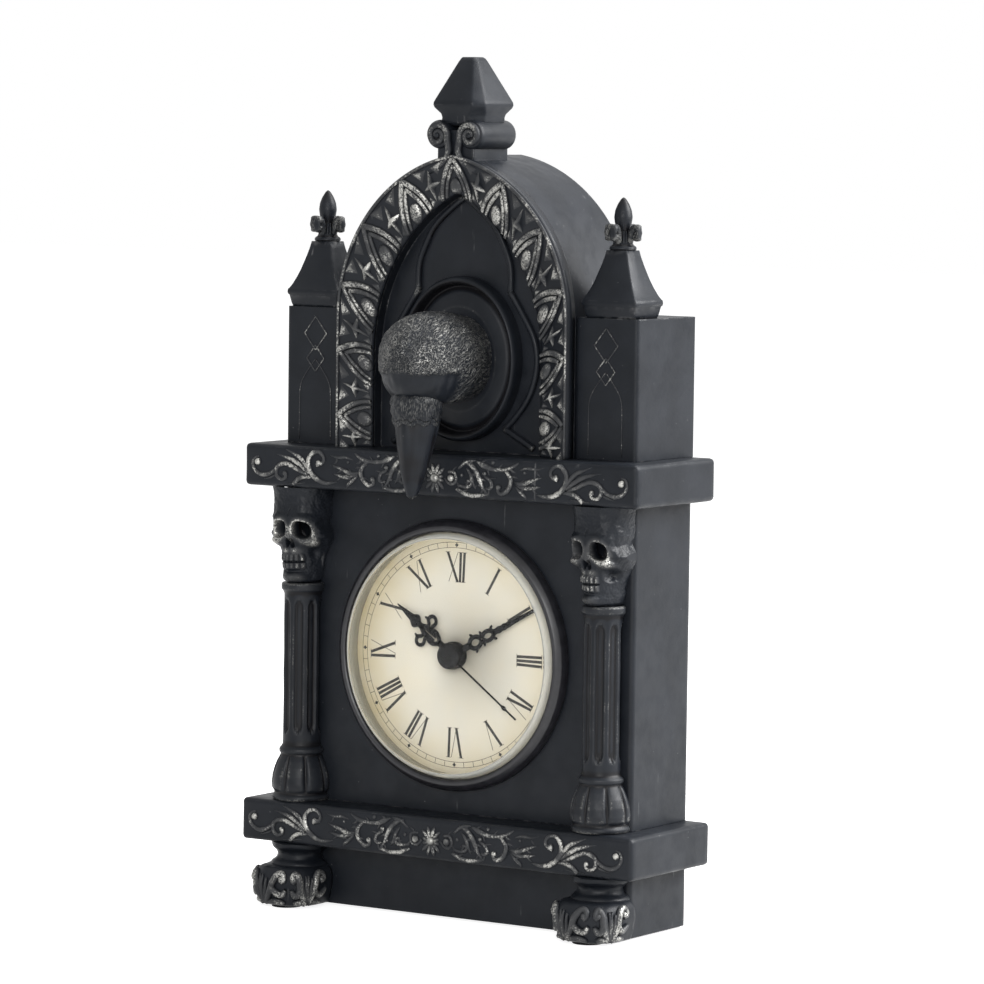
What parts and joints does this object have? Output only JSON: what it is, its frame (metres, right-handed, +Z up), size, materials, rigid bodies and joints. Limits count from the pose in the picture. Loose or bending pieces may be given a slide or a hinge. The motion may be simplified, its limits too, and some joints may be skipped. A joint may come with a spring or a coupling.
{
  "type": "gothic mantel clock",
  "caption": "Small gothic mantel clock of black cast resin: raven head in a pointed arch, skull columns, spires and a round ivory dial on a quartz movement.",
  "frame": {"origin": "on the shelf, under the middle of the whole clock", "axes": "+Z up, +X to the viewer's right, +Y towards the back; Y = 0 is the front face of the case"},
  "size_m": [0.155, 0.072, 0.2844],
  "materials": {
    "cast_resin": "satin bluish-black paint on cast resin",
    "brushed_relief": "black cast resin with silver-grey dry brushing on the raised carving",
    "feathered_resin": "black cast resin with a fine feather texture",
    "felt": "black felt",
    "bezel_black": "satin black paint",
    "clear_lens": "clear polished",
    "ivory_dial": "aged ivory print",
    "rubber_washer": "matte",
    "brass": "turned brass",
    "hand_black": "satin black",
    "movement_plastic": "moulded black",
    "white_plastic": "natural acetal",
    "board_green": "solder mask",
    "copper_wire": "enamelled copper wire",
    "stator_steel": "soft iron sheet",
    "spring_contact": "nickel plated spring strip",
    "battery_sleeve": "plain dark sleeve with no print"
  },
  "bodies": {
    "root": {"arch_block": "cast_resin", "arch_moulding": "brushed_relief", "bezel": "bezel_black", "circuit_board": "board_green", "coil_bobbin": "white_plastic", "coil_winding": "copper_wire", "contact_negative": "spring_contact", "contact_positive": "spring_contact", "crown_finial": "cast_resin", "crown_scrolls": "brushed_relief", "dial": "ivory_dial", "dial_case": "cast_resin", "dial_washer": "rubber_washer", "felt_pads": "felt", "gear_bridge": "white_plastic", "left_column": "brushed_relief", "left_fleuron": "brushed_relief", "left_foot": "brushed_relief", "left_skull": "brushed_relief", "left_spire": "cast_resin", "left_tower": "cast_resin", "lens": "clear_lens", "lower_ledge": "cast_resin", "movement_back_shell": "movement_plastic", "movement_front_shell": "movement_plastic", "neck_collar": "cast_resin", "niche_tracery": "brushed_relief", "plinth_block": "cast_resin", "raven_head": "feathered_resin", "right_column": "brushed_relief", "right_fleuron": "brushed_relief", "right_foot": "brushed_relief", "right_skull": "brushed_relief", "right_spire": "cast_resin", "right_tower": "cast_resin", "shaft_nut": "brass", "stator": "stator_steel", "upper_ledge": "cast_resin"},
    "seconds_train": {"seconds_wheel": "white_plastic", "second_hand": "hand_black"},
    "step_wheel": {"step_wheel": "white_plastic"},
    "rotor": {"rotor": "white_plastic"},
    "third_wheel": {"third_wheel": "white_plastic"},
    "centre_wheel": {"centre_wheel": "white_plastic"},
    "minute_arbor": {"cannon_pinion": "white_plastic", "minute_hand": "hand_black"},
    "minute_wheel": {"minute_wheel": "white_plastic"},
    "hour_arbor": {"hour_wheel": "white_plastic", "hour_hand": "hand_black"},
    "setting_knob": {"setting_knob": "white_plastic"},
    "battery": {"battery": "battery_sleeve"}
  },
  "joints": [
    {"name": "second_hand_turn", "type": "hinge", "parent": "root", "child": "seconds_train", "pos_m": [0, 0.009, 0.08801], "axis": [0, 1, 0], "continuous": true},
    {"name": "step_wheel_turn", "type": "hinge", "parent": "root", "child": "step_wheel", "pos_m": [0.00735, 0.0096, 0.08801], "axis": [0, 1, 0], "continuous": true},
    {"name": "rotor_turn", "type": "hinge", "parent": "root", "child": "rotor", "pos_m": [0.01365, 0.011, 0.08801], "axis": [0, 1, 0], "continuous": true},
    {"name": "third_wheel_turn", "type": "hinge", "parent": "root", "child": "third_wheel", "pos_m": [-0.00945, 0.0076, 0.08801], "axis": [0, 1, 0], "continuous": true},
    {"name": "centre_wheel_turn", "type": "hinge", "parent": "root", "child": "centre_wheel", "pos_m": [0, 0.0066, 0.08801], "axis": [0, 1, 0], "continuous": true},
    {"name": "minute_hand_turn", "type": "hinge", "parent": "root", "child": "minute_arbor", "pos_m": [0, 0.0054, 0.08801], "axis": [0, 1, 0], "continuous": true},
    {"name": "minute_wheel_turn", "type": "hinge", "parent": "root", "child": "minute_wheel", "pos_m": [0, 0.0048, 0.09601], "axis": [0, 1, 0], "continuous": true},
    {"name": "hour_hand_turn", "type": "hinge", "parent": "root", "child": "hour_arbor", "pos_m": [0, 0.0042, 0.08801], "axis": [0, 1, 0], "continuous": true},
    {"name": "setting_knob_turn", "type": "hinge", "parent": "root", "child": "setting_knob", "pos_m": [-0.00594, 0.0054, 0.10194], "axis": [0, 1, 0], "continuous": true},
    {"name": "battery_slide", "type": "slide", "parent": "root", "child": "battery", "axis": [0, 1, 0], "range_m": [0, 0.03]}
  ],
  "couplings": [
    {"joint": "step_wheel_turn", "follows": "second_hand_turn", "ratio": -6},
    {"joint": "rotor_turn", "follows": "second_hand_turn", "ratio": 30},
    {"joint": "third_wheel_turn", "follows": "second_hand_turn", "ratio": -0.125},
    {"joint": "centre_wheel_turn", "follows": "second_hand_turn", "ratio": 0.016667},
    {"joint": "minute_wheel_turn", "follows": "minute_hand_turn", "ratio": -0.33333},
    {"joint": "hour_hand_turn", "follows": "minute_hand_turn", "ratio": 0.083333},
    {"joint": "setting_knob_turn", "follows": "minute_hand_turn", "ratio": 0.83333}
  ]
}
